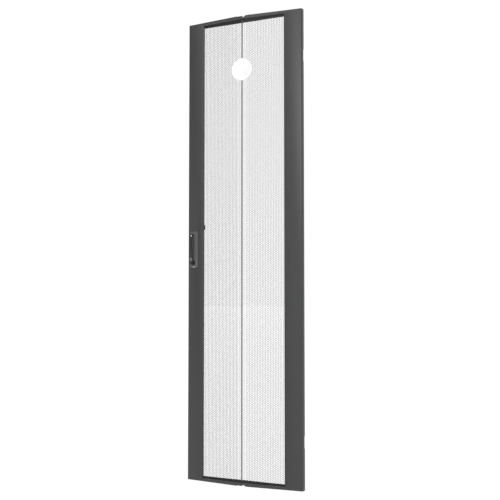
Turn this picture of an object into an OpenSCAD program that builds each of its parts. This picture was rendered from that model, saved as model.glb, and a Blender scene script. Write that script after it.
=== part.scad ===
// Perforated front door of a server rack, in millimetres.
// +X points to the hinge side, -Y is the outside of the door, +Z is up.
// Sizes are laid out from the middle of the door's lower front edge, and the
// finished pieces are moved so that the origin lies on the lower hinge pin.

/* [Door] */
// Width over the side returns
door_w = 598; // [560:1:760]
// Height over the top and bottom returns
door_h = 2195; // [1800:5:2400]
// Depth from the outer front corners to the rear face
door_d = 26; // [25:0.5:32]
// How far the middle of the V-fold stands proud of the outer corners
vee_rise = 28; // [15:1:40]
// Thickness of the skin
skin_t = 1.5; // [1.2:0.1:2]
// Outside radius of the long side edges
edge_r = 6; // [4:0.5:8]
// Outside radius of the other folds
fold_r = 2.5; // [2:0.1:3]
// Width of the rear returns along both sides
side_return = 22; // [18:1:26]
// Height of the rear returns at the top and the bottom
end_return = 17.5; // [14:0.5:22]

/* [Window] */
// Width of the plain strips beside the perforated sheet
strip_w = 87; // [82:1:100]
// Height of the lips above and below the window
lip_h = 12; // [10:1:16]
// Depth of the perforated sheet behind the skin
recess = 12; // [9:0.5:15]
// Width of the flange that carries the perforated sheet
flange_w = 12; // [9:1:14]
// Left end of the relief cuts at the fold, from the middle
relief_left = 22.5; // [18:0.5:28]
// Right end of the relief cuts at the fold, from the middle
relief_right = 24; // [18:0.5:28]
// Depth of the relief cuts
relief_h = 10; // [6:0.5:11]

/* [Perforated sheet] */
// Thickness of the perforated sheet
mesh_t = 1.2; // [1:0.1:2]
// Sideways pitch of the columns of holes
hole_pitch_x = 42; // [38:1:60]
// Pitch of the holes along a column
hole_pitch_z = 52; // [48:1:70]
// Width of the webs between the holes
web_w = 6; // [4:0.5:10]
// Plain band on each side of the fold
fold_band = 4; // [2:0.5:6]
// Plain border of the perforated sheet
mesh_border = 5; // [3:0.5:8]

/* [Badge] */
// Distance of the badge's middle from the top of the door
badge_drop = 255; // [120:5:500]
// Radius of the badge
badge_r = 53; // [40:1:60]
// Thickness of the badge at its rim
badge_t = 6; // [4:0.5:8]
// Sideways distance of the badge studs from the middle
badge_stud_x = 24; // [14:1:30]

/* [Handle] */
// Distance of the middle of the handle housing from the door's side
handle_inset = 35; // [33:0.5:40]
// Height of the middle of the handle housing
handle_z = 1096; // [700:1:1400]
// Width of the handle housing
housing_w = 44; // [42:1:50]
// Height of the handle housing
housing_h = 174; // [170:1:200]
// How far the housing stands proud of the skin
housing_t = 3; // [2:0.5:4]
// Depth of the housing behind the skin
housing_d = 10; // [8:0.5:12]
// Distance of the lever's middle line from the middle of the housing
lever_u = -10; // [-12:0.5:-8]
// Width of the lever
lever_w = 16; // [14:0.5:18]
// Thickness of the lever
lever_t = 9.2; // [8:0.2:11]
// Height of the spindle above the middle of the housing
spindle_dz = 66; // [60:1:68]
// Height of the lock below the middle of the housing
lock_dz = 48; // [40:1:52]
// Height of the lever's tip below the middle of the housing
tip_dz = 70; // [66:1:72]
// Radius of the lock cylinder's face
lock_r = 6.5; // [5.5:0.25:6.75]

/* [Latch] */
// Radius of the circle that the cam studs turn on
cam_r = 12; // [10:0.5:13]
// Thickness of the cam
cam_t = 3; // [2.5:0.25:4]
// Width of the latch rods
rod_w = 12; // [10:1:14]
// Thickness of the latch rods
rod_t = 3; // [2.5:0.25:4]
// Distance from the skin's front face to the latch plate
latch_plate_v = 22.5; // [22:0.25:24]
// Thickness of the latch plate
latch_plate_t = 2; // [1.5:0.25:3]
// Distance of the rod tips from the ends of the door
rod_end_gap = 25; // [22:1:40]
// Length of the rod guides along the rods
guide_l = 14; // [10:1:20]

/* [Hinges] */
// Distance of the hinge middles from the ends of the door
hinge_inset = 214; // [150:2:300]
// Distance of the hinge pins from the door's side
pin_inset_x = 14; // [12:0.5:16]
// Distance of the hinge pins from the door's rear face
pin_inset_y = 8; // [7:0.5:9]
// Radius of the hinge pins
pin_r = 4; // [3:0.25:5]
// Length of a hinge pocket
pocket_l = 114; // [112:1:130]
// Length of the deep part of a hinge pocket
pocket_deep_l = 57; // [56:0.5:60]
// Thickness of the hinge brackets
bracket_t = 2.5; // [2:0.25:3]
// Travel of the upper hinge pin
pin_travel = 11; // [9:0.5:11]

/* [Fittings] */
// Height of the earth stud
earth_z = 420; // [340:5:600]
// Radius of the earth stud
earth_r = 3; // [2.5:0.5:4]
// Radius of the door bumpers
bumper_r = 7; // [5:0.5:8]
// Height of the door bumpers
bumper_h = 4; // [3:0.5:6]

/* [Hidden] */
$fn = 48;
gap = 0.3;
run_gap = 0.05;
hole_gap = 0.2;
cut = 1;
BEND_STEPS = 6;
STEEL_DARK = "#3b3d40";
STEEL_BRIGHT = "#c3c5c8";
PLASTIC_BLACK = "#1b1b1d";
BADGE_WHITE = "#eeeff0";

half_w = door_w / 2;
half_window = half_w - strip_w;
handle_x = handle_inset - half_w;
badge_z = door_h - badge_drop;
vee = atan(vee_rise / half_w);
hinge_z_low = hinge_inset;
hinge_z_high = door_h - hinge_inset;
pin_x = half_w - pin_inset_x;
pin_y = door_d - pin_inset_y;

ear_top = 28;
ear_t = 3;
ear_low = ear_top - ear_t;
washer_t = 2;
pin_free = 28;
shank_r = pin_r + 0.5;
pin_shoulder = hinge_z_low + ear_low - washer_t;
origin_z = pin_shoulder - pin_free / 2;

spindle_z = handle_z + spindle_dz;
lock_z = handle_z - lock_dz;
tip_z = handle_z - tip_dz;
lever_back = -housing_t - gap;
lever_front = lever_back - lever_t;
yoke_low = spindle_z - 12;
lever_pin_z = spindle_z - 8;
lever_pin_v = lever_back - lever_t / 2;
lever_pin_r = 1.8;
spindle_r = 5;
square_w = 7;
journal_r = 2.5;
boss_r = lock_r + 2.2;
tongue_l = lock_r + 3.6;
tongue_w = 4.4;
slot_v = 2.4;
cam_front = housing_d + 4.3;
cam_back = cam_front + cam_t;
rod_front = cam_back + 0.4;
rod_back = rod_front + rod_t;
stud_r = 3;
stud_end = latch_plate_v - 0.4;
clip_t = 1;
rod_offset = 11;
upper_rod_u = lever_u - rod_offset;
lower_rod_u = lever_u + rod_offset;
upper_rod_top = door_h - rod_end_gap;
lower_rod_low = rod_end_gap;
stile_end_u = strip_w - handle_inset;
stiffener_u = housing_w / 2 - 2;
stiffener_end_u = stile_end_u - flange_w - 2;
ear_u = stile_end_u - 4.5;
ear_z_low = spindle_z + 29.5;
ear_h = 22;
post_r = 3.8;
post_high = [14, spindle_z + 6];
post_low = [-12, spindle_z - 28];
latch_plate_screw_u = (stiffener_u + stiffener_end_u) / 2 + 1;
function latch_plate_screws_z() = [spindle_z - 26, spindle_z + 40];
tip_l = 32;
guide_near = 340;
guide_far = tip_l + 60;
guide_wall = 3;
guide_lug = 8;
GUIDES_UPPER = [spindle_z + guide_near, upper_rod_top - guide_far];
GUIDES_LOWER = [spindle_z - guide_near, lower_rod_low + guide_far];
bumper_inset = 85;
bumper_step = (door_h - 2 * bumper_inset) / 3;
BUMPERS_Z = [for (i = [0:3]) bumper_inset + i * bumper_step];
SCREWS_Z = [-46, -34, 34, 46];
screw_inset = 41;
channel_w = 37;
screw_x = half_w - screw_inset;
screw_r = 2.5;

// ---- Shared geometry ------------------------------------------------------

// Front face of the skin above the line between the outer corners
function front_y(x) = -vee_rise + vee_rise * abs(x) / half_w;

// The same face, moved back by a distance measured square to it
function back_y(x, depth) = front_y(x) + depth / cos(vee);

function unit(v) = v / norm(v);
function left_of(v) = [-v.y, v.x];

// Points of one left-hand bend at corner b, at a given depth inside the fold
function bend(a, b, c, r, depth) =
    let (
        d1 = unit(b - a),
        d2 = unit(c - b),
        turn = acos(d1 * d2),
        centre = b - d1 * r * tan(turn / 2) + left_of(d1) * r,
        start = atan2(d1.y, d1.x) - 90
    )
    [for (k = [0:BEND_STEPS])
        let (w = start + turn * k / BEND_STEPS)
        centre + (r - depth) * [cos(w), sin(w)]];

// One face of a folded sheet along a path that only turns left
function fold_face(path, radii, depth) =
    let (
        last = len(path) - 1,
        first_n = left_of(unit(path[1] - path[0])),
        last_n = left_of(unit(path[last] - path[last - 1]))
    )
    concat(
        [path[0] + first_n * depth],
        [for (i = [1:last - 1])
            each bend(path[i - 1], path[i], path[i + 1], radii[i - 1], depth)],
        [path[last] + last_n * depth]
    );

function reversed(list) = [for (i = [len(list) - 1:-1:0]) list[i]];

// Section of a folded sheet whose outer face follows the path
module folded(path, radii, t)
    polygon(concat(fold_face(path, radii, 0), reversed(fold_face(path, radii, t))));

// Plan of a V-folded band between two depths behind the front face
module vee_band(near, far, x)
    polygon([
        [-x, back_y(x, near)], [0, back_y(0, near)], [x, back_y(x, near)],
        [x, back_y(x, far)], [0, back_y(0, far)], [-x, back_y(x, far)]
    ]);

module slab(z, h) translate([0, 0, z]) linear_extrude(h) children();

// Mirrors the top of the door to its bottom
module both_ends() {
    children();
    translate([0, 0, door_h]) mirror([0, 0, 1]) children();
}

// Moves a finished piece so that the origin lies on the lower hinge pin
module seated() translate([-pin_x, -pin_y, -origin_z]) children();

// Frame of the left stile: u along the strip, v into the door, z up
module on_stile()
    translate([handle_x, front_y(handle_x), 0]) rotate([0, 0, -vee]) children();

// A round bar along v
module bar(u, z, r, v0, v1)
    translate([u, v0, z]) rotate([-90, 0, 0]) cylinder(r = r, h = v1 - v0);

// A box given by its u, v and z limits
module block(u0, u1, v0, v1, z0, z1)
    translate([u0, v0, z0]) cube([u1 - u0, v1 - v0, z1 - z0]);

// A flat outline drawn in u and z, thickened from v0 to v1
module plate(v0, v1)
    translate([0, v1, 0]) rotate([90, 0, 0]) linear_extrude(v1 - v0) children();

// Rectangle with rounded corners, around the origin
module rounded(w, h, r) {
    square([w - 2 * r, h], center = true);
    square([w, h - 2 * r], center = true);
    for (sx = [-1, 1], sz = [-1, 1])
        translate([sx * (w / 2 - r), sz * (h / 2 - r)]) circle(r);
}

// ---- Door skin ------------------------------------------------------------

// Outer face of the whole door in plan, from one rear return round to the other
DOOR_PATH = [
    [-half_w + side_return, door_d], [-half_w, door_d], [-half_w, 0],
    [0, -vee_rise],
    [half_w, 0], [half_w, door_d], [half_w - side_return, door_d]
];
DOOR_RADII = [fold_r, edge_r, 2 * edge_r, edge_r, fold_r];

// Return and flange along one side of the window
module side_return_section() {
    flange_x = half_window + flange_w;
    folded(
        [
            [flange_x, back_y(flange_x, recess)],
            [half_window, back_y(half_window, recess)],
            [half_window, back_y(half_window, skin_t / 2)]
        ],
        [fold_r],
        skin_t
    );
}

// Return and flange along the top of the window
module top_return() {
    depth = recess - gap;
    difference() {
        slab(door_h - lip_h, lip_h - 3)
            vee_band(skin_t / 2, depth, half_window + skin_t / 2);
        slab(door_h - lip_h + skin_t, lip_h)
            vee_band(-cut, depth - skin_t, half_window + skin_t);
    }
}

// Plan of what the round fold takes off the window's sharp side edges
module window_edge() {
    a = [half_window, back_y(half_window, recess)];
    b = [half_window, front_y(half_window)];
    c = [half_w, 0];
    arc = bend(a, b, c, fold_r, 0);
    inner = [for (k = [1:BEND_STEPS - 1]) arc[k]];
    last = len(inner) - 1;
    polygon(concat(
        [inner[0] + 3 * (inner[0] - inner[1])], inner,
        [inner[last] + 3 * (inner[last] - inner[last - 1]), b + [1, -4], b + [-2, -2]]
    ));
}

// End plate and rear return along the top edge
module top_end() {
    slab(door_h - skin_t, skin_t) polygon(fold_face(DOOR_PATH, DOOR_RADII, skin_t / 2));
    slab(door_h - end_return, end_return - skin_t)
        translate([-half_w + side_return, door_d - skin_t])
            square([door_w - 2 * side_return, skin_t]);
}

// Relief cuts at the fold: a slot, a lowered tongue and a slanting notch
module relief() {
    slot_w = 6;
    tongue_right = 6.5;
    front = -vee_rise - cut;
    back = -vee_rise + 26;
    tongue_top = door_h - 2;
    slot_end = -relief_left + slot_w;
    translate([0, front, 0])
        rotate([90, 0, 0]) mirror([0, 0, 1]) linear_extrude(back - front)
            polygon([
                [-relief_left, door_h + cut], [-relief_left, door_h - relief_h + 2],
                [slot_end, door_h - relief_h + 2], [slot_end, tongue_top],
                [tongue_right, tongue_top], [tongue_right + 2, door_h - relief_h],
                [relief_right + 2, door_h + cut]
            ]);
}

// Pocket in the hinge side for the rack's hinge lug
module hinge_pocket(z) {
    inner = half_w - side_return - cut;
    translate([inner, door_d - 2, z - pocket_l / 2])
        cube([side_return + 2 * cut, 2 + cut, pocket_l]);
    translate([inner, door_d - 6, z - pocket_deep_l / 2])
        cube([side_return + 2 * cut, 6 + cut, pocket_deep_l]);
}

module door_skin() seated() color(STEEL_DARK) difference() {
    union() {
        difference() {
            slab(0, door_h) folded(DOOR_PATH, DOOR_RADII, skin_t);
            translate([-half_window, -vee_rise - cut, lip_h])
                cube([2 * half_window, vee_rise, door_h - 2 * lip_h]);
        }
        for (side = [0, 1]) mirror([side, 0, 0])
            slab(lip_h, door_h - 2 * lip_h) side_return_section();
        both_ends() top_return();
        both_ends() top_end();
    }
    for (side = [0, 1]) mirror([side, 0, 0])
        slab(lip_h, door_h - 2 * lip_h) window_edge();
    both_ends() relief();
    hinge_pocket(hinge_z_low);
    hinge_pocket(hinge_z_high);
    on_stile() block(
        -housing_w / 2 + 3.5, housing_w / 2 - 3.5, -cut, skin_t + cut,
        handle_z - housing_h / 2 + 8.5, handle_z + housing_h / 2 - 10.5
    );
    for (z = BUMPERS_Z)
        translate([-half_w + side_return / 2, door_d - skin_t - cut, z])
            rotate([-90, 0, 0]) cylinder(r = 3 + hole_gap, h = skin_t + 2 * cut);
}

// ---- Perforated sheet -----------------------------------------------------

sheet_half = (half_window + flange_w - 1) / cos(vee);
sheet_low = 3;
sheet_high = door_h - 3;
hole_from = fold_band;
hole_to = half_window / cos(vee) - mesh_border;
columns = floor((hole_to - hole_from) / hole_pitch_x);
rows = floor((door_h - 2 * lip_h - 2 * mesh_border) / hole_pitch_z) - 1;
row_start = door_h / 2 - (rows - 1) * hole_pitch_z / 2;
blank_r = 38;

// The six corners of a hole: its cell, drawn in by half a web on every side
function hole_outline() =
    let (
        slope = atan2(hole_pitch_z / 2, hole_pitch_x),
        top = (hole_pitch_z - web_w) / 2,
        reach = norm([hole_pitch_x, hole_pitch_z / 2]) / 2 - web_w / 2,
        tip = reach / cos(slope),
        shoulder = (reach - top * sin(slope)) / cos(slope)
    )
    [[tip, 0], [shoulder, top], [-shoulder, top], [-tip, 0], [-shoulder, -top], [shoulder, -top]];

// Staggered six-sided holes in one half of the sheet
module hole_field() {
    spread = (hole_to - hole_from - columns * hole_pitch_x) / 2;
    for (i = [0:columns - 1], j = [0:rows - i % 2]) {
        s = hole_from + spread + hole_pitch_x * (i + 0.5);
        z = row_start + hole_pitch_z * (j - (1 - i % 2) * 0.5);
        if (norm([s, z - badge_z]) > blank_r + hole_pitch_x / 2)
            translate([s, z]) polygon(hole_outline());
    }
}

// One flat half of the sheet, swung back from the fold
module half_sheet()
    translate([0, back_y(0, recess), 0]) rotate([0, 0, vee])
        plate(0, mesh_t) difference() {
            translate([hole_from, sheet_low])
                square([sheet_half - hole_from, sheet_high - sheet_low]);
            hole_field();
            translate([badge_stud_x / cos(vee), badge_z]) circle(2 + gap);
        }

module perforated_sheet() seated() color("#a9abad") {
    for (side = [0, 1]) mirror([side, 0, 0]) half_sheet();
    slab(sheet_low, sheet_high - sheet_low)
        intersection() {
            vee_band(recess, recess + mesh_t, half_window);
            translate([-hole_from * cos(vee) - 0.1, -vee_rise])
                square([2 * hole_from * cos(vee) + 0.2, 2 * recess]);
        }
}

// ---- Stiffeners -----------------------------------------------------------

// C-channel behind the left stile, parallel to the strip
module latch_stiffener() seated() on_stile() color(STEEL_DARK) difference() {
    slab(skin_t + end_return, door_h - 2 * (skin_t + end_return))
        folded(
            [
                [stiffener_end_u, latch_plate_v], [stiffener_u, latch_plate_v],
                [stiffener_u, skin_t], [stiffener_end_u - 2, skin_t]
            ],
            [fold_r, fold_r],
            skin_t
        );
    for (z = latch_plate_screws_z())
        bar(latch_plate_screw_u, z, 2 + hole_gap, latch_plate_v - skin_t - cut, latch_plate_v + cut);
}

// C-channel behind the right stile, lapped under the rear return
module hinge_stiffener() seated() color(STEEL_DARK) {
    lap_x = half_w - pin_inset_x + 2;
    left = half_w - side_return - channel_w;
    rear = door_d - skin_t;
    foot = left + side_return - 6;
    difference() {
        slab(end_return + gap, door_h - 2 * (end_return + gap))
            folded(
                [
                    [lap_x, rear], [left, rear],
                    [left, back_y(left, skin_t)], [foot, back_y(foot, skin_t)]
                ],
                [fold_r, fold_r],
                skin_t
            );
        for (z = [hinge_z_low, hinge_z_high]) {
            translate([half_w - 2 * pin_inset_x, rear - 3, z - pocket_l / 2])
                cube([2 * pin_inset_x, 3 + cut, pocket_l]);
            hinge_screw_holes(z);
        }
    }
}

module hinge_screw_holes(z)
    for (dz = SCREWS_Z)
        bar(screw_x, z + dz, screw_r + hole_gap, door_d - 2 * skin_t - cut, door_d + 2 * bracket_t);

// ---- Hinges ---------------------------------------------------------------

// Horizontal ear around the hinge pin
module hinge_ear(z) difference() {
    translate([half_w - 26, door_d - 18, z])
        cube([24, 18 + bracket_t - skin_t, ear_t]);
    translate([pin_x, pin_y, z - cut]) cylinder(r = shank_r + run_gap, h = ear_t + 2 * cut);
}

// Base plate on the stiffener, with a window for the rack's hinge lug
module hinge_base(z) difference() {
    translate([half_w - 56, door_d - skin_t, z - pocket_l / 2 + 2])
        cube([54, bracket_t, pocket_l - 4]);
    translate([half_w - 26, door_d - skin_t - cut, z - ear_low])
        cube([26, bracket_t + 2 * cut, 2 * ear_low]);
    hinge_screw_holes(z);
}

module hinge_bracket_lower() seated() color(STEEL_BRIGHT) {
    hinge_base(hinge_z_low);
    hinge_ear(hinge_z_low + ear_low);
}

collar_low = hinge_z_high + ear_top + gap;
collar_h = 5;
collar_r = shank_r + 2.3;
arm_r = 2;
guide_ear = hinge_z_high + pocket_l / 2 - 2 - ear_t;

module hinge_bracket_upper() seated() color(STEEL_BRIGHT) difference() {
    union() {
        hinge_base(hinge_z_high);
        hinge_ear(hinge_z_high + ear_low);
        hinge_ear(guide_ear);
    }
    translate([pin_x - arm_r - gap, door_d - skin_t - cut, collar_low - gap])
        cube([2 * (arm_r + gap), bracket_t + 2 * cut, collar_h + pin_travel + 2 * gap]);
}

module hinge_screws() seated() color(STEEL_BRIGHT)
    for (z = [hinge_z_low, hinge_z_high], dz = SCREWS_Z) {
        head = door_d - skin_t + bracket_t;
        bar(screw_x, z + dz, screw_r, door_d - 8, head);
        bar(screw_x, z + dz, 1.8 * screw_r, head, head + screw_r);
    }

// Pin with a tapered nose, pointing down, and a thicker shank above its shoulder
module pin_body(low, shoulder, high) translate([pin_x, pin_y, 0]) rotate_extrude()
    polygon([
        [0, low], [pin_r - 1, low], [pin_r, low + 1], [pin_r, shoulder],
        [shank_r, shoulder], [shank_r, high], [0, high]
    ]);

module hinge_pin_lower() seated() color(STEEL_BRIGHT) {
    pin_body(pin_shoulder - pin_free, pin_shoulder, hinge_z_low + ear_top);
    translate([pin_x, pin_y, hinge_z_low + ear_top]) cylinder(r = shank_r + 1.5, h = 2);
}

module hinge_washer() seated() color(PLASTIC_BLACK)
    translate([pin_x, pin_y, pin_shoulder]) difference() {
        cylinder(r = pin_r + 4.8, h = washer_t);
        translate([0, 0, -cut]) cylinder(r = shank_r + run_gap, h = washer_t + 2 * cut);
    }

module hinge_pin_upper() seated() color(STEEL_BRIGHT)
    pin_body(
        hinge_z_high + ear_low - pin_travel, hinge_z_high + ear_low,
        hinge_z_high + pocket_l / 2 + 2
    );

// Collar with a side arm and a round knob, pushed on the upper pin
module hinge_pin_handle() seated() color(PLASTIC_BLACK)
    translate([pin_x, pin_y, collar_low]) {
        difference() {
            cylinder(r = collar_r, h = collar_h);
            translate([0, 0, -cut]) cylinder(r = shank_r + run_gap, h = collar_h + 2 * cut);
        }
        translate([0, collar_r - cut, collar_h / 2]) rotate([-90, 0, 0])
            cylinder(r = arm_r, h = 14);
        translate([0, collar_r + 16, collar_h / 2]) sphere(r = 4.5);
    }

// Coil spring around the upper pin, swept along its helix
spring_wire = 0.6;
spring_r = shank_r + 1.1;
spring_turns = 5;
spring_low = collar_low + collar_h + spring_wire + 0.1;
spring_high = guide_ear - spring_wire - 0.1;

module hinge_spring() seated() color(STEEL_BRIGHT) translate([pin_x, pin_y, 0]) {
    steps = 24 * spring_turns;
    sides = 8;
    rise = spring_high - spring_low;
    ring = function (i)
        let (w = 360 * spring_turns * i / steps, z = spring_low + rise * i / steps)
        [for (k = [0:sides - 1])
            let (q = 360 * k / sides, r = spring_r + spring_wire * cos(q))
            [r * cos(w), r * sin(w), z + spring_wire * sin(q)]];
    points = [for (i = [0:steps]) each ring(i)];
    faces = concat(
        [[for (k = [0:sides - 1]) k]],
        [for (i = [0:steps - 1], k = [0:sides - 1])
            let (n = (k + 1) % sides, a = i * sides)
            [a + k, a + sides + k, a + sides + n, a + n]],
        [[for (k = [sides - 1:-1:0]) steps * sides + k]]
    );
    polyhedron(points, faces, convexity = 10);
}

// ---- Badge ----------------------------------------------------------------

badge_back = back_y(0, recess) - gap;

// Dished disc with a raised ring, on two studs through the perforated sheet
module badge() seated() color(BADGE_WHITE) translate([0, badge_back, badge_z]) {
    rotate([90, 0, 0]) rotate_extrude($fn = 96)
        polygon([
            [0, 0], [badge_r - 2, 0], [badge_r, 1.5], [badge_r, badge_t - 1.5],
            [badge_r - 1.5, badge_t], [badge_r - 7, badge_t + 0.8],
            [badge_r - 9, badge_t - 0.6], [badge_r * 0.36, badge_t + 0.6],
            [badge_r * 0.32, badge_t - 0.6], [0, badge_t - 0.2]
        ]);
    for (side = [-1, 1]) translate([side * badge_stud_x, 0, 0]) rotate([-90, 0, 0])
        cylinder(r = 2, h = 8);
}

module badge_push_nuts() seated() color(STEEL_BRIGHT)
    for (side = [-1, 1]) {
        back = back_y(badge_stud_x, recess + mesh_t) + 1;
        translate([side * badge_stud_x, back, badge_z]) rotate([-90, 0, 0]) difference() {
            cylinder(r = 6, h = 1);
            translate([0, 0, -cut]) cylinder(r = 2 + run_gap, h = 1 + 2 * cut);
        }
    }

// ---- Handle ---------------------------------------------------------------

housing_low = handle_z - housing_h / 2;
body_low = housing_low + 9;
body_high = handle_z + housing_h / 2 - 11;
body_u = housing_w / 2 - 4;
scoop_high = tip_z + 14;
scoop_low = body_low + 1.5;

// Outline of the hollow under the lever's tip
module scoop_outline(grow)
    translate([-2, (scoop_high + scoop_low) / 2])
        rounded(20 + 2 * grow, scoop_high - scoop_low + 2 * grow, 5 + grow);

// Moulded housing: a face plate, a hollow body, a finger scoop, bosses and posts
module handle_housing() seated() on_stile() color("#4a4c4f") difference() {
    union() {
        plate(-housing_t, 0) translate([0, handle_z]) rounded(housing_w, housing_h, 6);
        difference() {
            block(-body_u, body_u, 0, housing_d, body_low, body_high);
            block(-body_u + 2, body_u - 2, 2, housing_d + cut, body_low + 2, body_high - 2);
        }
        plate(0, housing_d) intersection() {
            scoop_outline(2);
            translate([-body_u, body_low]) square([2 * body_u, body_high - body_low]);
        }
        bar(lever_u, spindle_z, 8, 0, cam_front - 0.5);
        for (p = [post_high, post_low]) bar(p[0], p[1], post_r, 0, latch_plate_v);
        for (dz = [-100, -74, -48])
            block(-body_u, body_u, 0, housing_d, spindle_z + dz, spindle_z + dz + 2);
    }
    plate(-housing_t - cut, housing_d - 2) scoop_outline(0);
    bar(lever_u, spindle_z, spindle_r + run_gap, -housing_t - cut, cam_front);
    for (p = [post_high, post_low]) bar(p[0], p[1], 1.7, housing_d, latch_plate_v + cut);
    plate(-housing_t - cut, -housing_t + 1.2) insert_outline(gap / 2);
}

// Hooked clip on the housing's face, for the lock's tongue
module lock_keeper() seated() on_stile() color(STEEL_BRIGHT) {
    wall = lever_u - tongue_l - 2 * gap;
    under = lever_back - slot_v;
    block(wall - 0.9, wall, under - 1.4, -housing_t, lock_z - 4, lock_z + 4);
    block(wall - 0.9, lever_u - boss_r - gap, under - 1.4, under, lock_z - 4, lock_z + 4);
}

module insert_outline(grow)
    translate([0, housing_low + 4]) rounded(15 + 2 * grow, 5 + 2 * grow, 2);

module housing_insert() seated() on_stile() color(STEEL_BRIGHT)
    plate(-housing_t - 0.6, -housing_t + 1) insert_outline(0);

module handle_screws() seated() on_stile() color(STEEL_BRIGHT)
    for (p = [post_high, post_low]) {
        seat = latch_plate_v + latch_plate_t;
        bar(p[0], p[1], 1.6, housing_d + 4, seat);
        bar(p[0], p[1], 3, seat, seat + 2);
    }

// Yoke and shaft in one piece: round in the housing, square in the cam
module spindle() seated() on_stile() color(STEEL_DARK) difference() {
    union() {
        plate(lever_front, lever_back) yoke_outline();
        bar(lever_u, spindle_z, spindle_r, lever_back, cam_front);
        block(
            lever_u - square_w / 2, lever_u + square_w / 2, cam_front, cam_back,
            spindle_z - square_w / 2, spindle_z + square_w / 2
        );
        bar(lever_u, spindle_z, journal_r, cam_back, latch_plate_v + latch_plate_t);
    }
    block(
        lever_u - 3.2, lever_u + 3.2, lever_front - cut, lever_back + cut,
        yoke_low - cut, lever_pin_z + 4.8
    );
    translate([lever_u, lever_pin_v, lever_pin_z]) rotate([0, 90, 0])
        cylinder(r = lever_pin_r + run_gap, h = lever_w + 2, center = true);
    bar(lever_u, spindle_z + 1.4, 2 + run_gap, lever_front - cut, lever_front + 3);
}

module yoke_outline() {
    r = lever_w / 2 - 0.2;
    translate([lever_u, spindle_z + 2]) circle(r);
    translate([lever_u - r, yoke_low]) square([2 * r, spindle_z + 2 - yoke_low]);
}

module spindle_cap() seated() on_stile() color(STEEL_BRIGHT)
    translate([lever_u, lever_front, spindle_z + 1.4]) rotate([90, 0, 0]) rotate_extrude()
        polygon([[0, -2.6], [2, -2.6], [2, 0], [3.4, 0], [3.4, 0.6], [2.6, 1.2], [0, 1.4]]);

module lever_pin() seated() on_stile() color(STEEL_BRIGHT)
    translate([lever_u, lever_pin_v, lever_pin_z]) rotate([0, 90, 0])
        cylinder(r = lever_pin_r, h = lever_w - 1, center = true);

// Cast lever: a chamfered bar with a round lock end, hollow behind
module swing_lever() seated() on_stile() color(PLASTIC_BLACK) difference() {
    top = yoke_low - 2;
    union() {
        intersection() {
            plate(lever_front - cut, lever_back + cut) lever_outline(top);
            slab(tip_z - cut, top - tip_z + 2 * cut) lever_section();
        }
        lever_tongue(top);
    }
    plate(lever_back - 3.2, lever_back + cut)
        translate([lever_u, (top + tip_z) / 2]) rounded(lever_w - 5, top - tip_z - 14, 3);
    bar(lever_u, lock_z, lock_r + run_gap, lever_front - cut, lever_back);
    plate(lever_back - slot_v, lever_back + cut) translate([lever_u, lock_z])
        intersection() {
            circle(tongue_l + 2 * gap);
            translate([-2 * lever_w, -2 * lever_w])
                square([2 * lever_w, 2 * lever_w + tongue_w / 2 + 1]);
        }
    translate([lever_u, lever_pin_v, lever_pin_z]) rotate([0, 90, 0])
        cylinder(r = lever_pin_r + run_gap, h = lever_w, center = true);
}

module lever_outline(top) {
    r = lever_w / 2;
    translate([lever_u, tip_z + r]) circle(r);
    translate([lever_u - r, tip_z + r]) square([lever_w, top - tip_z - r]);
    translate([lever_u, lock_z]) circle(boss_r);
}

// Section across the lever, with chamfered front edges
module lever_section() {
    r = boss_r;
    c = 2;
    translate([lever_u, 0])
        polygon([
            [-r, lever_back], [-r, lever_front + c], [-r + c, lever_front],
            [r - c, lever_front], [r, lever_front + c], [r, lever_back]
        ]);
}

// Tongue of the lever between the cheeks of the yoke
module lever_tongue(top) {
    translate([lever_u - 3, lever_pin_v, lever_pin_z]) rotate([0, 90, 0])
        cylinder(r = 3.8, h = 6);
    block(
        lever_u - 3, lever_u + 3, lever_pin_v - 3, lever_pin_v + 3,
        top - cut, lever_pin_z
    );
}

// Lock cylinder with a shouldered face and a key slot
module lock_cylinder() seated() on_stile() color(STEEL_BRIGHT) difference() {
    union() {
        bar(lever_u, lock_z, lock_r, lever_front - 0.8, lever_back - 2);
        bar(lever_u, lock_z, lock_r + 1.6, lever_front - 1.6, lever_front - 0.2);
    }
    bar(lever_u, lock_z, lock_r - 1.2, lever_front - 2, lever_front - 1);
    block(
        lever_u - 0.7, lever_u + 0.7, lever_front - 2, lever_front + 4,
        lock_z - 4, lock_z + 4
    );
    bar(lever_u, lock_z, 1.3, lever_front + 5, lever_back);
}

// Flat tongue that slides under the keeper when the lock is turned
module lock_tongue() seated() on_stile() color(STEEL_BRIGHT)
    plate(lever_back - 2, lever_back - 0.8) difference() {
        union() {
            translate([lever_u, lock_z]) circle(3);
            translate([lever_u - tongue_w / 2, lock_z - tongue_l])
                square([tongue_w, tongue_l]);
        }
        translate([lever_u, lock_z]) circle(1.3 + run_gap);
    }

module tongue_screw() seated() on_stile() color(STEEL_BRIGHT) {
    bar(lever_u, lock_z, 1.2, lever_front + 5.4, lever_back - 0.8);
    bar(lever_u, lock_z, 2.2, lever_back - 0.8, lever_back - 0.1);
}

// ---- Latch ----------------------------------------------------------------

// Frame of the cam: the studs stand 45 degrees up left and down right
module cam_frame()
    translate([lever_u, 0, spindle_z]) rotate([0, 45, 0]) children();

module latch_cam() seated() on_stile() color(STEEL_BRIGHT) {
    difference() {
        cam_frame() plate(cam_front, cam_back) {
            square([2 * cam_r, 11], center = true);
            for (side = [-1, 1]) translate([side * cam_r, 0]) circle(5.5);
            circle(8.5);
        }
        block(
            lever_u - square_w / 2 - run_gap, lever_u + square_w / 2 + run_gap,
            cam_front - cut, cam_back + cut,
            spindle_z - square_w / 2 - run_gap, spindle_z + square_w / 2 + run_gap
        );
    }
    cam_frame() for (side = [-1, 1]) bar(side * cam_r, 0, stud_r, cam_back, stud_end);
}

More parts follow.
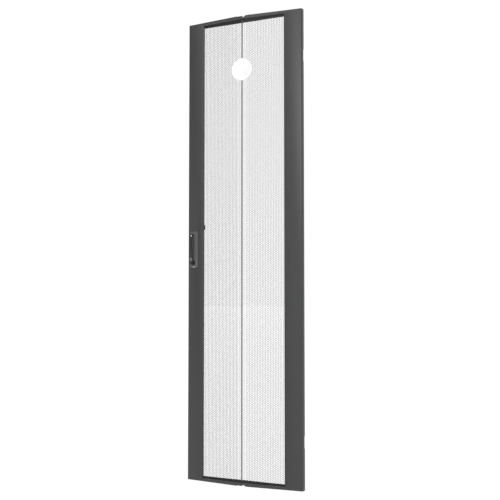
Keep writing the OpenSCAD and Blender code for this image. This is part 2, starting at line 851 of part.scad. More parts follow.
module cam_clips() seated() on_stile() color(STEEL_BRIGHT)
    cam_frame() for (side = [-1, 1]) difference() {
        bar(side * cam_r, 0, stud_r + 1.6, rod_back + 0.3, rod_back + 0.3 + clip_t);
        bar(side * cam_r, 0, stud_r + run_gap, rod_back, rod_back + 2 * clip_t);
    }

// Outline of a rod: a slotted head on the cam stud and a long flat bar.
// out is -1 for the rod on the left of the cam and 1 for the one on its right.
module rod_outline(out, from, to) {
    head_z = -out * cam_r * sin(45);
    slot_near = cam_r * cos(45) - 0.2;
    slot_far = cam_r + 0.2;
    slot_r = stud_r + 0.5;
    difference() {
        union() {
            translate([out > 0 ? rod_offset - rod_w / 2 : -rod_offset - rod_w / 2, from])
                square([rod_w, to - from]);
            translate([out > 0 ? 3.1 : -18, head_z - 5.5]) square([14.9, 11]);
        }
        translate([out * slot_near, head_z]) circle(slot_r);
        translate([out * slot_far, head_z]) circle(slot_r);
        translate([out * (slot_near + slot_far) / 2, head_z])
            square([slot_far - slot_near, 2 * slot_r], center = true);
    }
}

module latch_rod_upper() seated() on_stile() color(STEEL_BRIGHT)
    plate(rod_front, rod_back) translate([lever_u, spindle_z])
        rod_outline(-1, cam_r * sin(45), upper_rod_top - spindle_z - 2);

module latch_rod_lower() seated() on_stile() color(STEEL_BRIGHT)
    plate(rod_front, rod_back) translate([lever_u, spindle_z])
        rod_outline(1, lower_rod_low - spindle_z + 2, -cam_r * sin(45));

// Moulded tip: a sleeve on the rod and a wedge that reaches behind the rack
module rod_tip(u, nose_u, end, dir) {
    w = rod_w + 6;
    left = min(u - w / 2, nose_u - 6);
    right = max(u + w / 2, nose_u + 6);
    low = min(end, end - dir * tip_l);
    difference() {
        union() {
            block(left, right, rod_front - 2.4, rod_back + 2.4, low, low + tip_l);
            translate([nose_u - 6, 0, end]) rotate([90, 0, 90]) linear_extrude(12)
                polygon([
                    [rod_back, 0], [rod_back + 8, 0], [rod_back + 15, -dir * 8],
                    [rod_back + 15, -dir * 30], [rod_back, -dir * 30]
                ]);
        }
        block(
            u - rod_w / 2 - gap / 2, u + rod_w / 2 + gap / 2,
            rod_front - gap / 2, rod_back + gap / 2,
            dir > 0 ? low - cut : end + 2 - gap, dir > 0 ? end - 2 + gap : low + tip_l + cut
        );
    }
}

module rod_tip_upper() seated() on_stile() color(PLASTIC_BLACK)
    rod_tip(upper_rod_u, lever_u + 4, upper_rod_top, 1);

module rod_tip_lower() seated() on_stile() color(PLASTIC_BLACK)
    rod_tip(lower_rod_u, lower_rod_u, lower_rod_low, -1);

// Flat plate behind the cam, with a bearing hole and an ear past the stile
module latch_plate() seated() on_stile() color(STEEL_DARK)
    plate(latch_plate_v, latch_plate_v + latch_plate_t) difference() {
        union() {
            translate([-28, spindle_z - 36]) square([stiffener_end_u + 28, 36 + 30 + ear_h]);
            translate([stiffener_end_u - 6, ear_z_low])
                square([ear_u - stiffener_end_u + 6, ear_h]);
        }
        translate([lever_u, spindle_z]) circle(journal_r + run_gap);
        for (p = [post_high, post_low]) translate(p) circle(1.6 + hole_gap);
        for (z = latch_plate_screws_z()) translate([latch_plate_screw_u, z]) circle(2 + hole_gap);
    }

module latch_plate_screws() seated() on_stile() color(STEEL_BRIGHT)
    for (z = latch_plate_screws_z()) {
        seat = latch_plate_v + latch_plate_t;
        bar(latch_plate_screw_u, z, 2, latch_plate_v - skin_t - 3, seat);
        bar(latch_plate_screw_u, z, 3.6, seat, seat + 2.2);
    }

guide_screw_u = rod_w / 2 + guide_wall + guide_lug / 2;

// Guide block with a window for the rod and a lug for its screw
module rod_guide(u, z) difference() {
    block(
        u - rod_w / 2 - guide_wall, u + rod_w / 2 + guide_wall + guide_lug,
        skin_t, rod_back + guide_wall, z - guide_l / 2, z + guide_l / 2
    );
    block(
        u - rod_w / 2 - gap, u + rod_w / 2 + gap,
        rod_front - gap, rod_back + gap, z - guide_l / 2 - cut, z + guide_l / 2 + cut
    );
    bar(u + guide_screw_u, z, 2 + hole_gap, skin_t - cut, rod_back + guide_wall + cut);
}

module each_guide() {
    for (z = GUIDES_UPPER) translate([upper_rod_u, 0, z]) children();
    for (z = GUIDES_LOWER) translate([lower_rod_u, 0, z]) children();
}

module rod_guides() seated() on_stile() color(PLASTIC_BLACK)
    each_guide() rod_guide(0, 0);

module guide_screws() seated() on_stile() color(STEEL_BRIGHT)
    each_guide() {
        bar(guide_screw_u, 0, 2, skin_t + gap, rod_back + guide_wall);
        bar(guide_screw_u, 0, 3.6, rod_back + guide_wall, rod_back + guide_wall + 2.2);
    }

// ---- Fittings -------------------------------------------------------------

// Rubber buffers plugged into the rear return of the latch side
module door_bumpers() seated() color(PLASTIC_BLACK)
    for (z = BUMPERS_Z)
        translate([-half_w + side_return / 2, door_d, z]) rotate([-90, 0, 0]) rotate_extrude()
            polygon([
                [0, -skin_t - 1.6], [3.6, -skin_t - 1.6], [4.4, -skin_t - 0.1],
                [3, -skin_t - 0.1], [3, 0], [bumper_r, 0], [bumper_r, bumper_h - 2],
                [bumper_r - 1.5, bumper_h - 0.4], [bumper_r - 3, bumper_h], [0, bumper_h]
            ]);

earth_seat = door_d - skin_t;
earth_washer_t = 1.2;
earth_nut_t = 5;
earth_free = 12;

module earth_stud() seated() color(STEEL_BRIGHT)
    bar(screw_x, earth_z, earth_r, earth_seat,
        earth_seat + earth_washer_t + earth_nut_t + earth_free);

module earth_washer() seated() color(STEEL_BRIGHT) difference() {
    bar(screw_x, earth_z, 2.1 * earth_r, earth_seat, earth_seat + earth_washer_t);
    bar(screw_x, earth_z, earth_r + run_gap, earth_seat - cut, earth_seat + 2 * earth_washer_t);
}

module earth_nut() seated() color(STEEL_BRIGHT) {
    start = earth_seat + earth_washer_t;
    difference() {
        translate([screw_x, start, earth_z]) rotate([-90, 0, 0])
            cylinder(r = 1.9 * earth_r, h = earth_nut_t, $fn = 6);
        bar(screw_x, earth_z, earth_r + run_gap, start - cut, start + earth_nut_t + cut);
    }
}

// ---- Assembly -------------------------------------------------------------

door_skin();
perforated_sheet();
latch_stiffener();
hinge_stiffener();
hinge_bracket_upper();
hinge_bracket_lower();
hinge_screws();
hinge_pin_upper();
hinge_pin_handle();
hinge_spring();
hinge_pin_lower();
hinge_washer();
badge();
badge_push_nuts();
handle_housing();
lock_keeper();
housing_insert();
handle_screws();
spindle();
spindle_cap();
lever_pin();
swing_lever();
lock_cylinder();
lock_tongue();
tongue_screw();
latch_cam();
cam_clips();
latch_plate();
latch_plate_screws();
latch_rod_upper();
latch_rod_lower();
rod_tip_upper();
rod_tip_lower();
rod_guides();
guide_screws();
door_bumpers();
earth_stud();
earth_washer();
earth_nut();
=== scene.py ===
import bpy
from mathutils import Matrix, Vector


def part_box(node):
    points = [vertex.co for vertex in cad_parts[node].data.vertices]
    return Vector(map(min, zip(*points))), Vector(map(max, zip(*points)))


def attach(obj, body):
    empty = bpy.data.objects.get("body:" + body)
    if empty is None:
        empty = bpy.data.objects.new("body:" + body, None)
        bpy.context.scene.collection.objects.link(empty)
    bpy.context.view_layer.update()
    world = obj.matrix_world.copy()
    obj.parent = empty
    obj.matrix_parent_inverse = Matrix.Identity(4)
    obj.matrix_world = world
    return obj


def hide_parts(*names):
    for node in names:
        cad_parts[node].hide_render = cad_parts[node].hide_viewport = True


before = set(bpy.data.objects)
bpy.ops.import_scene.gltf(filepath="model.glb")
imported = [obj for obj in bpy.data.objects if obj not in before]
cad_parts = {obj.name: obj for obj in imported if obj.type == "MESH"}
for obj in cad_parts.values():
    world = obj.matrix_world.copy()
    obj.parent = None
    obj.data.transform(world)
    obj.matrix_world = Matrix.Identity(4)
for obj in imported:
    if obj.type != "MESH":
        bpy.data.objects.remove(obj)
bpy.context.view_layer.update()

# ---- Door skin -------------------------------------------------------------
# One steel sheet, folded into two stiles with a shallow V between them and coated
# with a dark textured powder. The bends are left round and the sheet's cut ends
# square, with relief cuts where the fold meets the ends.

import bmesh
import bpy
import math
from mathutils import Matrix, Vector

mm = 0.001
skin_low, skin_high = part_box("door_skin")
skin_depth = 26 * mm
door_middle = (skin_low.x + skin_high.x) / 2
door_w = skin_high.x - skin_low.x
corner_y = skin_high.y - skin_depth
vee_rise = corner_y - skin_low.y
vee = math.atan(vee_rise / (door_w / 2))
door_low, door_high = skin_low.z, skin_high.z

DOOR_GREY = (0.0385, 0.0389, 0.04, 1)


class Flow:
    """A node's output. Arithmetic on it adds Math nodes, and node() adds any other."""

    def __init__(self, tree, socket):
        self.tree = tree
        self.socket = socket

    def node(self, kind, settings, sockets, output=0):
        made = self.tree.nodes.new(kind)
        for name, value in settings.items():
            if name == "stops":
                ramp = made.color_ramp.elements
                for element, (place, grey) in zip(ramp, value):
                    element.position = place
                    element.color = (grey, grey, grey, 1)
            else:
                setattr(made, name, value)
        for name, value in sockets.items():
            if isinstance(value, Flow):
                self.tree.links.new(value.socket, made.inputs[name])
            else:
                made.inputs[name].default_value = value
        return Flow(self.tree, made.outputs[output])

    def sum_of(self, operation, first, second):
        return self.node("ShaderNodeMath", {"operation": operation}, {0: first, 1: second})

    def __add__(self, other):
        return self.sum_of("ADD", self, other)

    def __sub__(self, other):
        return self.sum_of("SUBTRACT", self, other)

    def __mul__(self, other):
        return self.sum_of("MULTIPLY", self, other)

    def __rsub__(self, other):
        return self.sum_of("SUBTRACT", other, self)

    __radd__ = __add__
    __rmul__ = __mul__


def new_finish(name, metallic=0.0, specular=0.5, coat=0.0):
    """A material with a plain shader, and the object's own coordinates as a Flow."""
    material = bpy.data.materials.new(name)
    material.use_nodes = True
    tree = material.node_tree
    shader = tree.nodes["Principled BSDF"]
    shader.inputs["Metallic"].default_value = metallic
    shader.inputs["Specular IOR Level"].default_value = specular
    shader.inputs["Coat Weight"].default_value = coat
    place = Flow(tree, tree.nodes.new("ShaderNodeTexCoord").outputs["Object"])
    return material, shader, place


def feed(shader, **flows):
    """Links flows to the shader's Base Color, Roughness or Normal."""
    for name, flow in flows.items():
        flow.tree.links.new(flow.socket, shader.inputs[name.replace("_", " ")])


def tint(place, factor, dark, light):
    return place.node(
        "ShaderNodeMix", {"data_type": "RGBA"}, {0: factor, 6: dark, 7: light}, output=2
    )


def noise(place, size, detail=2.0):
    """Noise whose grains are about the given size, from 0 to 1."""
    return place.node("ShaderNodeTexNoise", {}, {"Vector": place, "Scale": 1 / size, "Detail": detail})


def bump(height, depth, strength=1.0):
    return height.node(
        "ShaderNodeBump", {}, {"Height": height, "Distance": depth, "Strength": strength}
    )


def shaded(colour, factor):
    return tuple(c * factor for c in colour[:3]) + (1,)


def powder_coat(name, colour, rough=0.46, grain=0.9 * mm, depth=0.035 * mm):
    """Baked powder: fine orange peel, a little uneven in tone and gloss."""
    material, shader, place = new_finish(name, specular=0.45)
    peel = noise(place, grain)
    cloud = noise(place, 90 * mm, 3.0)
    dust = noise(place, 14 * mm, 4.0)
    tone = tint(place, cloud * 0.6 + dust * 0.4, shaded(colour, 0.9), shaded(colour, 1.1))
    feed(
        shader, Base_Color=tone,
        Roughness=rough - 0.06 + peel * 0.06 + dust * 0.06,
        Normal=bump(peel, depth),
    )
    return material


def dress(material, *names):
    """Gives solids of the frame their finish."""
    for name in names:
        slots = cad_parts[name].material_slots
        for slot in slots:
            slot.material = material


def piece(name, bm, material, body, smooth=math.radians(32)):
    """A finished piece from a bmesh, riding on its body."""
    mesh = bpy.data.meshes.new(name)
    bm.to_mesh(mesh)
    bm.free()
    mesh.materials.append(material)
    mesh.polygons.foreach_set("use_smooth", [True] * len(mesh.polygons))
    mesh.set_sharp_from_angle(angle=smooth)
    made = bpy.data.objects.new(name, mesh)
    bpy.context.scene.collection.objects.link(made)
    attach(made, body)
    return made


def merged(node):
    """A bmesh of one solid with its triangles joined into flat faces."""
    bm = bmesh.new()
    bm.from_mesh(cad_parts[node].data)
    bmesh.ops.remove_doubles(bm, verts=bm.verts, dist=0.001 * mm)
    bmesh.ops.dissolve_limit(
        bm, angle_limit=math.radians(0.5), verts=bm.verts, edges=bm.edges, delimit=set()
    )
    return bm


def eased(node, radius, material, body, name=None):
    """A copy of a solid with its sharp edges rounded, shown in its place."""
    bm = merged(node)
    if radius:
        sharp = [
            e for e in bm.edges if e.is_manifold and abs(e.calc_face_angle()) > math.radians(35)
        ]
        bmesh.ops.bevel(
            bm, geom=sharp, offset=radius, segments=2, profile=0.5,
            affect="EDGES", material=-1, clamp_overlap=True,
        )
    made = piece(name or node + "_finished", bm, material, body)
    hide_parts(node)
    return made


door_coat = powder_coat("door_coat", DOOR_GREY)
eased("door_skin", 0.25 * mm, door_coat, "door")

# ---- Perforated sheet ------------------------------------------------------
# A thin steel sheet punched with staggered six-sided holes, folded once down the
# middle and coated like the skin. The webs are under a millimetre wide, and the
# holes beside the fold are a little larger. It is made as two halves, each in two lengths.

hole_pitch_s = 7.9 * mm
hole_pitch_z = 8.33 * mm
web = 0.88 * mm
web_at_fold = 0.55 * mm
sheet_t = 1.2 * mm
fold_band = 2.4 * mm
open_band = 19 * mm
flange_depth = 12 * mm
sheet_low, sheet_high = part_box("perforated_sheet")
badge_low, badge_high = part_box("badge")
badge_middle = (badge_low.z + badge_high.z) / 2
badge_r = (badge_high.x - badge_low.x) / 2
sheet_s = (sheet_high.x - sheet_low.x) / 2 / math.cos(vee)
holes_s = sheet_s - 9 * mm
holes_z = 8 * mm
fold_point = Vector((door_middle, skin_low.y + flange_depth / math.cos(vee), 0))


def hole_cell():
    """A bmesh with one six-sided cell of the staggered pattern, in s and z."""
    slope = math.atan2(hole_pitch_z / 2, hole_pitch_s)
    top = hole_pitch_z / 2
    reach = math.hypot(hole_pitch_s, hole_pitch_z / 2) / 2
    tip = reach / math.cos(slope)
    shoulder = hole_pitch_s - tip
    corners = [
        (tip, 0), (shoulder, top), (-shoulder, top), (-tip, 0), (-shoulder, -top), (shoulder, -top)
    ]
    bm = bmesh.new()
    bm.faces.new([bm.verts.new((s, 0, z)) for s, z in corners])
    return bm


def repeat(bm, step, count):
    """Repeats all that the bmesh holds, count times in all."""
    bmesh.ops.spin(
        bm, geom=bm.verts[:] + bm.edges[:] + bm.faces[:], cent=(0, 0, 0), axis=(0, 0, 1),
        dvec=step, angle=0, steps=count - 1, use_duplicate=True,
    )


def trim(bm, point, outward):
    bmesh.ops.bisect_plane(
        bm, geom=bm.verts[:] + bm.edges[:] + bm.faces[:], dist=0.001 * mm,
        plane_co=point, plane_no=outward, clear_outer=True,
    )


def widen(bm, along, at, by):
    """Draws the straight rim at one end of the sheet outwards, as a plain border."""
    rim = [
        e for e in bm.edges
        if e.is_boundary and all(abs(v.co[along] - at) < 0.01 * mm for v in e.verts)
    ]
    grown = bmesh.ops.extrude_edge_only(bm, edges=rim)["geom"]
    step = Vector((0, 0, 0))
    step[along] = by
    moved = [v for v in grown if isinstance(v, bmesh.types.BMVert)]
    bmesh.ops.translate(bm, verts=moved, vec=step)


def sheet_panel(name, side, low, high, upper):
    """One length of one half: cells, holes, borders, thickness, then the swing of the V."""
    columns = math.ceil((holes_s - fold_band) / hole_pitch_s / 2) + 1
    rows = round((high - low) / hole_pitch_z)
    bm = hole_cell()
    beside = bmesh.ops.duplicate(bm, geom=bm.verts[:] + bm.edges[:] + bm.faces[:])["geom"]
    bmesh.ops.translate(
        bm, verts=[v for v in beside if isinstance(v, bmesh.types.BMVert)],
        vec=(hole_pitch_s, 0, hole_pitch_z / 2),
    )
    repeat(bm, (0, 0, hole_pitch_z), rows)
    repeat(bm, (2 * hole_pitch_s, 0, 0), columns)
    bmesh.ops.remove_doubles(bm, verts=bm.verts, dist=0.01 * mm)
    bmesh.ops.translate(bm, verts=bm.verts, vec=(fold_band, 0, low))
    trim(bm, (fold_band, 0, 0), (-1, 0, 0))
    trim(bm, (holes_s, 0, 0), (1, 0, 0))
    end = sheet_high.z - holes_z if upper else sheet_low.z + holes_z
    trim(bm, (0, 0, end), (0, 0, 1 if upper else -1))

    whole = hole_pitch_s * hole_pitch_z
    badge_spot = Vector((0, 0, badge_middle))
    open_cells = [
        f for f in bm.faces
        if f.calc_area() > 0.25 * whole
        and (f.calc_center_median() - badge_spot).length > badge_r - 8 * mm
    ]
    near = [f for f in open_cells if f.calc_center_median().x < open_band]
    far = [f for f in open_cells if f.calc_center_median().x >= open_band]
    bmesh.ops.inset_individual(bm, faces=near, thickness=web_at_fold / 2, use_even_offset=True)
    bmesh.ops.inset_individual(bm, faces=far, thickness=web / 2, use_even_offset=True)
    bmesh.ops.delete(bm, geom=near + far, context="FACES")

    widen(bm, 0, fold_band, -fold_band - 0.2 * mm)
    widen(bm, 0, holes_s, sheet_s - holes_s)
    widen(bm, 2, end, holes_z if upper else -holes_z)
    grown = bmesh.ops.extrude_face_region(bm, geom=bm.faces[:], use_keep_orig=True)["geom"]
    back = [v for v in grown if isinstance(v, bmesh.types.BMVert)]
    bmesh.ops.translate(bm, verts=back, vec=(0, sheet_t, 0))
    bmesh.ops.rotate(bm, verts=bm.verts, cent=(0, 0, 0), matrix=Matrix.Rotation(vee, 3, "Z"))
    if side < 0:
        bmesh.ops.scale(bm, verts=bm.verts, vec=(-1, 1, 1))
    bmesh.ops.translate(bm, verts=bm.verts, vec=fold_point)
    cut = bmesh.ops.bisect_plane(
        bm, geom=bm.verts[:] + bm.edges[:] + bm.faces[:], dist=0.001 * mm,
        plane_co=fold_point, plane_no=(-side, 0, 0), clear_outer=True,
    )["geom_cut"]
    bmesh.ops.edgeloop_fill(bm, edges=[e for e in cut if isinstance(e, bmesh.types.BMEdge)])
    bmesh.ops.recalc_face_normals(bm, faces=bm.faces)
    made = piece(name, bm, door_coat, "door")
    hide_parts("perforated_sheet")


rows_in_all = round((sheet_high.z - sheet_low.z) / hole_pitch_z)
half_way = sheet_low.z + (rows_in_all // 2) * hole_pitch_z
for side, side_name in ((-1, "left"), (1, "right")):
    sheet_panel(f"perforated_{side_name}_lower", side, sheet_low.z, half_way, False)
    sheet_panel(f"perforated_{side_name}_upper", side, half_way, sheet_high.z + hole_pitch_z, True)

# ---- Stiffeners ------------------------------------------------------------
# A folded channel behind each stile, spot-welded to the skin before coating, so it
# carries the same powder. The left one holds the latch, the right one the hinges.

eased("latch_stiffener", 0, door_coat, "door")
eased("hinge_stiffener", 0, door_coat, "door")

# ---- Hinge brackets --------------------------------------------------------
# Pressed steel plates with ears for the pins, bright zinc-plated, each held to the
# stiffener by four cross-recessed pan-head screws.

ZINC = (0.56, 0.565, 0.58, 1)
screw_recess = 0.62


def plating(name, colour, rough=0.34, streak=(0.6, 0.6, 8.0)):
    """Bright plated steel: faint drawing lines, small clouds and a slightly uneven gloss."""
    material, shader, place = new_finish(name, metallic=1.0)
    stretched = place.node("ShaderNodeMapping", {"vector_type": "POINT"}, {0: place, 3: streak})
    lines = noise(stretched, 1.6 * mm, 3.0)
    cloud = noise(place, 9 * mm, 3.0)
    feed(
        shader, Base_Color=tint(place, cloud, shaded(colour, 0.88), shaded(colour, 1.08)),
        Roughness=rough - 0.08 + cloud * 0.08 + lines * 0.1,
        Normal=bump(lines, 0.012 * mm),
    )
    return material


def islands(node):
    """The separate solids of one node, as lists of corner points."""
    bm = merged(node)
    left, found = set(bm.verts), []
    while left:
        front = [left.pop()]
        group = []
        while front:
            vert = front.pop()
            group.append(vert.co.copy())
            for edge in vert.link_edges:
                other = edge.other_vert(vert)
                if other in left:
                    left.remove(other)
                    front.append(other)
        found.append(group)
    bm.free()
    return found


def turned(bm, outline, steps=24):
    """Turns an open outline of (radius, height) points round the Z axis."""
    verts = [bm.verts.new((r, 0, z)) for r, z in outline]
    edges = [bm.edges.new(pair) for pair in zip(verts, verts[1:])]
    bmesh.ops.spin(
        bm, geom=verts + edges, cent=(0, 0, 0), axis=(0, 0, 1), angle=2 * math.pi,
        steps=steps, use_merge=True,
    )
    bmesh.ops.remove_doubles(bm, verts=bm.verts, dist=0.005 * mm)


def rim_at(bm, height):
    return [
        e for e in bm.edges
        if e.is_boundary and all(abs(v.co.z - height) < 0.002 * mm for v in e.verts)
    ]


def pan_screw(shank_r, head_r, head_h, length):
    """A pan-head screw along +Z with a cross recess, its seat at the origin."""
    bm = bmesh.new()
    turned(bm, [
        (0, -length), (shank_r * 0.75, -length), (shank_r, -length + shank_r * 0.5),
        (shank_r, 0), (head_r * 0.97, 0), (head_r, head_h * 0.12), (head_r, head_h * 0.4),
        (head_r * 0.92, head_h * 0.72), (head_r * 0.78, head_h * 0.92), (head_r * 0.66, head_h),
    ])
    reach, half = head_r * 0.52, head_r * 0.13
    cross = []
    for turn in range(4):
        spin = Matrix.Rotation(turn * math.pi / 2, 3, "Z")
        for corner in ((half, -half), (reach, -half), (reach, half)):
            cross.append(bm.verts.new(spin @ Vector((*corner, head_h))))
    loop = [bm.edges.new((a, b)) for a, b in zip(cross, cross[1:] + cross[:1])]
    outer = [e for e in rim_at(bm, head_h) if e not in loop]
    bmesh.ops.bridge_loops(bm, edges=outer + loop)
    sunk = bmesh.ops.extrude_edge_only(bm, edges=loop)["geom"]
    floor_verts = [v for v in sunk if isinstance(v, bmesh.types.BMVert)]
    bmesh.ops.translate(bm, verts=floor_verts, vec=(0, 0, -head_h * screw_recess))
    bmesh.ops.scale(
        bm, verts=floor_verts, vec=(0.8, 0.8, 1),
        space=Matrix.Translation((0, 0, -head_h * (1 - screw_recess))),
    )
    bmesh.ops.edgeloop_fill(bm, edges=[e for e in sunk if isinstance(e, bmesh.types.BMEdge)])
    bmesh.ops.recalc_face_normals(bm, faces=bm.faces)
    return bm


def join_into(group, bm, matrix):
    """Adds one bmesh to another, moved by a matrix."""
    bmesh.ops.transform(bm, verts=bm.verts, matrix=matrix)
    mesh = bpy.data.meshes.new("part_of_group")
    bm.to_mesh(mesh)
    bm.free()
    group.from_mesh(mesh)
    bpy.data.meshes.remove(mesh)


def dress_screws(node, along, body):
    """Puts a pan-head screw where each plain one of a node is, heads towards along."""
    group = bmesh.new()
    for corners in islands(node):
        reach = [p.dot(along) for p in corners]
        top, foot = max(reach), min(reach)
        rim = [p for p, t in zip(corners, reach) if t > top - 0.01 * mm]
        head_end = sum(rim, Vector()) / len(rim)
        wide = [(p - head_end - along * (t - top)).length for p, t in zip(corners, reach)]
        head_r = max(wide)
        shank_r = max(w for w, t in zip(wide, reach) if t < foot + 0.01 * mm)
        seat = min(t for w, t in zip(wide, reach) if w > head_r * 0.98)
        turn = Vector((0, 0, 1)).rotation_difference(along).to_matrix().to_4x4()
        twist = Matrix.Rotation(head_end.z * 40, 4, "Z")
        place = Matrix.Translation(head_end - along * (top - seat))
        bm = pan_screw(shank_r, head_r, top - seat, seat - foot)
        join_into(group, bm, place @ turn @ twist)
    made = piece(node + "_finished", group, zinc, body)
    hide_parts(node)


zinc = plating("zinc", ZINC)
eased("hinge_bracket_upper", 0.25 * mm, zinc, "door")
eased("hinge_bracket_lower", 0.25 * mm, zinc, "door")
dress_screws("hinge_screws", Vector((0, 1, 0)), "door")

# ---- Hinge pins ------------------------------------------------------------
# Turned steel pins of 8 mm. The lower one is riveted in its ear over a plastic
# washer; the upper one slides against a coil spring and is drawn by a moulded knob.

BLACK = (0.018, 0.018, 0.0185, 1)


def moulded(name, colour, rough=0.5, grain=0.5 * mm, depth=0.02 * mm, coat=0.0):
    """Moulded plastic with a fine spark-eroded texture."""
    material, shader, place = new_finish(name, specular=0.45, coat=coat)
    texture = noise(place, grain, 3.0)
    flow_marks = noise(place, 25 * mm, 2.0)
    feed(
        shader, Base_Color=tint(place, flow_marks, shaded(colour, 0.92), shaded(colour, 1.08)),
        Roughness=rough - 0.05 + texture * 0.07 + flow_marks * 0.05,
        Normal=bump(texture, depth),
    )
    return material


turned_steel = plating("turned_steel", ZINC, rough=0.26, streak=(0.5, 0.5, 6.0))
wire_steel = plating("wire_steel", (0.42, 0.42, 0.43, 1), rough=0.3)
black_plastic = moulded("black_plastic", BLACK)
eased("hinge_pin_upper", 0, turned_steel, "hinge_pin")
eased("hinge_pin_lower", 0.3 * mm, turned_steel, "door")
eased("hinge_washer", 0.2 * mm, black_plastic, "door")
eased("hinge_pin_handle", 0.4 * mm, black_plastic, "hinge_pin")
dress(wire_steel, "hinge_spring")

# ---- Badge -----------------------------------------------------------------
# A plain white moulded disc with a raised ring, held near the top by two studs
# that pass through the perforated sheet into push-on nuts.

BADGE_WHITE = (0.80, 0.80, 0.80, 1)
badge_white = moulded("badge_white", BADGE_WHITE, rough=0.32, grain=2 * mm, depth=0.005 * mm, coat=0.3)
eased("badge", 0, badge_white, "door")
eased("badge_push_nuts", 0.15 * mm, zinc, "door")

# ---- Handle housing --------------------------------------------------------
# A grey moulding let into the left stile, with a flat face plate, a finger scoop
# under the lever's tip and a small bright insert at its foot.

HOUSING_GREY = (0.088, 0.089, 0.092, 1)
CHROME = (0.78, 0.78, 0.80, 1)


def polish(name, colour, rough=0.08):
    """Chrome plate: nearly a mirror, with slight waves and smears."""
    material, shader, place = new_finish(name, metallic=1.0)
    smears = noise(place, 6 * mm, 4.0)
    feed(
        shader, Base_Color=tint(place, smears, shaded(colour, 0.94), shaded(colour, 1.04)),
        Roughness=rough + smears * 0.06,
        Normal=bump(noise(place, 2 * mm), 0.004 * mm),
    )
    return material


housing_plastic = moulded("housing_plastic", HOUSING_GREY, rough=0.46, grain=0.6 * mm)
chrome = polish("chrome", CHROME)
into_door = Vector((math.sin(vee), math.cos(vee), 0))
eased("handle_housing", 0.35 * mm, housing_plastic, "door")
eased("housing_insert", 0.3 * mm, chrome, "door")
dress(zinc, "lock_keeper")
dress_screws("handle_screws", into_door, "door")

# ---- Swing lever -----------------------------------------------------------
# A black-coated casting, hinged by a steel pin in the yoke of the spindle. A chrome
# cap closes the spindle's face, and a round lock sits low in the lever.

LEVER_BLACK = (0.020, 0.020, 0.021, 1)
NICKEL = (0.30, 0.30, 0.31, 1)
lever_coat = powder_coat("lever_coat", LEVER_BLACK, rough=0.38, grain=0.6 * mm, depth=0.02 * mm)
yoke_coat = powder_coat("yoke_coat", shaded(LEVER_BLACK, 1.6), rough=0.42, grain=0.6 * mm)
nickel = plating("nickel", NICKEL, rough=0.36)
eased("swing_lever", 0.6 * mm, lever_coat, "lever")
eased("spindle", 0.4 * mm, yoke_coat, "spindle")
eased("spindle_cap", 0.15 * mm, chrome, "spindle")
eased("lever_pin", 0.2 * mm, turned_steel, "spindle")
eased("lock_cylinder", 0.25 * mm, nickel, "lock")
eased("lock_tongue", 0.15 * mm, zinc, "lock")
eased("tongue_screw", 0.1 * mm, zinc, "lock")

# ---- Latch -----------------------------------------------------------------
# Plated steel: a cam on the spindle's square drives two flat rods by its studs. A
# coated plate carries the spindle's end, and black guides hold the rods on the stile.

eased("latch_cam", 0.25 * mm, zinc, "spindle")
eased("cam_clips", 0.15 * mm, zinc, "spindle")
eased("latch_plate", 0.3 * mm, door_coat, "door")
dress_screws("latch_plate_screws", into_door, "door")
rod_steel = plating("rod_steel", ZINC, rough=0.36, streak=(6.0, 6.0, 0.3))
eased("latch_rod_upper", 0.3 * mm, rod_steel, "upper_rod")
eased("latch_rod_lower", 0.3 * mm, rod_steel, "lower_rod")
eased("rod_tip_upper", 0.8 * mm, black_plastic, "upper_rod")
eased("rod_tip_lower", 0.8 * mm, black_plastic, "lower_rod")
eased("rod_guides", 0.6 * mm, black_plastic, "door")
dress_screws("guide_screws", into_door, "door")

# ---- Bumpers and earth stud ------------------------------------------------
# Rubber buttons plugged into the latch side's return, and a threaded stud welded to
# the hinge stiffener with a washer and nut for the earth lead.

RUBBER = (0.022, 0.022, 0.022, 1)
thread_pitch = 1 * mm
thread_steps = 24
thread_depth = 0.6 * mm


def threaded_stud(radius, length):
    """A stud along +Y from the origin: one pitch of thread, turned along its helix."""
    bm = bmesh.new()
    profile = [
        (radius - thread_depth, 0), (radius, 0.4 * thread_pitch), (radius, 0.5 * thread_pitch),
        (radius - thread_depth, 0.9 * thread_pitch), (radius - thread_depth, thread_pitch),
    ]
    verts = [bm.verts.new((r, 0, z - 2 * thread_pitch)) for r, z in profile]
    edges = [bm.edges.new(pair) for pair in zip(verts, verts[1:])]
    turns = round(length / thread_pitch) + 3
    bmesh.ops.spin(
        bm, geom=verts + edges, cent=(0, 0, 0), axis=(0, 0, 1), angle=2 * math.pi * turns,
        steps=thread_steps * turns, dvec=(0, 0, thread_pitch / thread_steps),
    )
    bmesh.ops.remove_doubles(bm, verts=bm.verts, dist=0.01 * mm)
    for end, away in ((0, -1), (length, 1)):
        cut = bmesh.ops.bisect_plane(
            bm, geom=bm.verts[:] + bm.edges[:] + bm.faces[:], dist=0.001 * mm,
            plane_co=(0, 0, end), plane_no=(0, 0, away), clear_outer=True,
        )["geom_cut"]
        bmesh.ops.edgeloop_fill(bm, edges=[e for e in cut if isinstance(e, bmesh.types.BMEdge)])
    bmesh.ops.recalc_face_normals(bm, faces=bm.faces)
    bmesh.ops.rotate(bm, verts=bm.verts, cent=(0, 0, 0), matrix=Matrix.Rotation(-math.pi / 2, 3, "X"))
    return bm


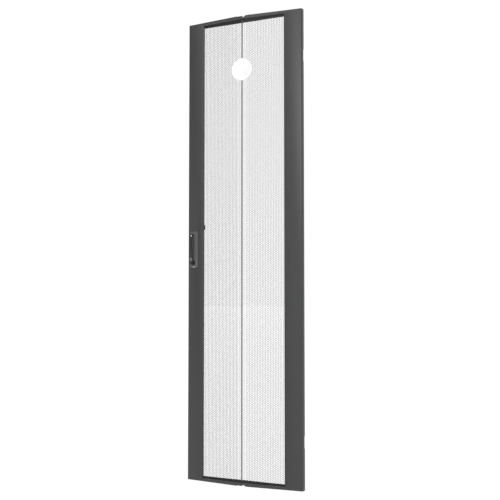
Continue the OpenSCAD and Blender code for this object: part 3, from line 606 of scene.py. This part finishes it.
rubber = moulded("rubber", RUBBER, rough=0.7, grain=0.8 * mm)
stud_low, stud_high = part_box("earth_stud")
stud_r = (stud_high.x - stud_low.x) / 2
bm = threaded_stud(stud_r, stud_high.y - stud_low.y)
bmesh.ops.translate(
    bm, verts=bm.verts,
    vec=((stud_low.x + stud_high.x) / 2, stud_low.y, (stud_low.z + stud_high.z) / 2),
)
earth_thread = piece("earth_stud_threaded", bm, turned_steel, "door")
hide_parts("earth_stud")
eased("earth_washer", 0.15 * mm, zinc, "door")
eased("earth_nut", 0.3 * mm, zinc, "door")
eased("door_bumpers", 0.3 * mm, rubber, "door")

# ---- Camera ----------------------------------------------------------------
# Stands a little right of the middle and low, so that the V and the right side show.

camera_data = bpy.data.cameras.new("camera")
camera_data.sensor_width = 36
camera_data.lens = 62.785
camera = bpy.data.objects.new("camera", camera_data)
bpy.context.scene.collection.objects.link(camera)
camera.location = (1.5586, -3.6574, 0.6522)
camera_azimuth = math.radians(26.433)
camera_pitch = math.radians(2.985)
camera.rotation_euler = (math.pi / 2 + camera_pitch, 0, camera_azimuth)
camera_data.clip_start = 0.05
camera_data.clip_end = 300
bpy.context.scene.camera = camera

# ---- Floor and light -------------------------------------------------------
# A white sweep under and far behind the door, one large soft light from the front
# right, above the middle, and a faint sky. The picture shows colours as they are.

floor_gap = 12 * mm
sweep_reach = 60
sweep_glow = 1.0
sky_glow = 0.22
bpy.context.scene.view_settings.view_transform = "Standard"


def studio_white(name, glow):
    material = bpy.data.materials.new(name)
    material.use_nodes = True
    shader = material.node_tree.nodes["Principled BSDF"]
    shader.inputs["Base Color"].default_value = (0.03, 0.03, 0.03, 1)
    shader.inputs["Roughness"].default_value = 0.9
    shader.inputs["Emission Color"].default_value = (1, 1, 1, 1)
    shader.inputs["Emission Strength"].default_value = glow
    return material


bm = bmesh.new()
bmesh.ops.create_grid(bm, x_segments=1, y_segments=1, size=sweep_reach)
bmesh.ops.translate(bm, verts=bm.verts, vec=(0, 0, door_low - floor_gap))
back_edge = [e for e in bm.edges if all(v.co.y > sweep_reach * 0.9 for v in e.verts)]
raised = bmesh.ops.extrude_edge_only(bm, edges=back_edge)["geom"]
bmesh.ops.translate(
    bm, verts=[v for v in raised if isinstance(v, bmesh.types.BMVert)], vec=(0, 0, sweep_reach)
)
floor_mesh = bpy.data.meshes.new("floor")
bm.to_mesh(floor_mesh)
bm.free()
floor_mesh.materials.append(studio_white("sweep", sweep_glow))
floor = bpy.data.objects.new("floor", floor_mesh)
bpy.context.scene.collection.objects.link(floor)

world = bpy.data.worlds.new("studio")
world.use_nodes = True
world.node_tree.nodes["Background"].inputs["Color"].default_value = (1, 1, 1, 1)
world.node_tree.nodes["Background"].inputs["Strength"].default_value = sky_glow
bpy.context.scene.world = world


def soft_light(name, place, aim, size, power):
    data = bpy.data.lights.new(name, "AREA")
    data.shape = "RECTANGLE"
    data.size, data.size_y = size
    data.energy = power
    light = bpy.data.objects.new(name, data)
    bpy.context.scene.collection.objects.link(light)
    light.location = place
    light.rotation_euler = (Vector(aim) - Vector(place)).to_track_quat("-Z", "Y").to_euler()


door_centre = (door_middle, corner_y, (door_low + door_high) / 2)
soft_light("front", (0.2, -4.4, 3.4), door_centre, (2.4, 2.0), 145)
soft_light("right", (3.4, -3.2, 3.0), door_centre, (1.6, 2.4), 85)
